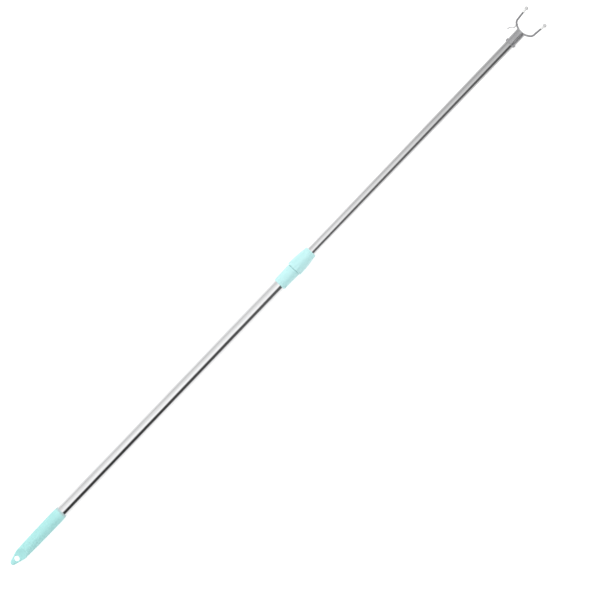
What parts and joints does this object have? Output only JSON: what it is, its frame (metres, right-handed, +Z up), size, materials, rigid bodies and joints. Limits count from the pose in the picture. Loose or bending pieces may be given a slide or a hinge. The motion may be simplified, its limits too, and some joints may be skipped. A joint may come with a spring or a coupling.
{
  "type": "telescopic reaching pole",
  "caption": "Telescopic steel reaching pole with a twist lock, a plastic handle with a hanging eye, and a two-pronged wire fork with a side hook.",
  "frame": {"origin": "halfway along the fully extended pole, in its middle plane, on the surface it lies on", "axes": "+X along the pole from the handle to the fork, +Y across towards the side hook, +Z up, square to the plane of the fork"},
  "size_m": [1.14, 0.044, 0.0252],
  "materials": {
    "mint_grip": "satin moulded polypropylene with a fine grip texture",
    "mint_lock": "semi-gloss moulded plastic",
    "steel_tube": "bright drawn stainless steel",
    "chrome_wire": "polished plated wire",
    "grey_socket": "satin grey moulding",
    "tip_sleeve": "milky vinyl sleeve",
    "tip_ball": "grey plastic bead",
    "nylon": "natural nylon",
    "seal": "soft grey elastomer",
    "rivet": "plain steel"
  },
  "bodies": {
    "lower_section": {"handle_grip": "mint_grip", "handle_end_ring": "mint_lock", "outer_tube": "steel_tube", "tube_end_plug": "nylon", "lock_body": "mint_lock", "clamp_collet": "nylon"},
    "lock_ring": {"squeeze_ring": "nylon"},
    "lock_nut": {"lock_nut": "mint_lock", "nut_wiper_ring": "seal"},
    "slide_bush": {"guide_bush": "nylon"},
    "upper_section": {"inner_tube": "steel_tube", "tail_plug": "nylon", "stop_ring": "rivet", "head_socket": "grey_socket", "socket_rivet": "rivet", "fork_wire": "chrome_wire", "side_hook": "chrome_wire", "left_tip_sleeve": "tip_sleeve", "right_tip_sleeve": "tip_sleeve", "left_tip_ball": "tip_ball", "right_tip_ball": "tip_ball"}
  },
  "joints": [
    {"name": "lock_advance", "type": "slide", "parent": "lower_section", "child": "lock_ring", "axis": [1, 0, 0], "range_m": [0, 0.00225]},
    {"name": "lock_twist", "type": "hinge", "parent": "lock_ring", "child": "lock_nut", "pos_m": [0.062, 0, 0.01262], "axis": [1, 0, 0], "range_deg": [0, 270]},
    {"name": "pole_slide", "type": "slide", "parent": "lower_section", "child": "slide_bush", "axis": [1, 0, 0], "range_m": [-0.425, 0]},
    {"name": "head_turn", "type": "hinge", "parent": "slide_bush", "child": "upper_section", "pos_m": [0.03, 0, 0.01262], "axis": [1, 0, 0], "continuous": true}
  ],
  "couplings": [
    {"joint": "lock_advance", "follows": "lock_twist", "m_per_rad": 0.00047746}
  ]
}
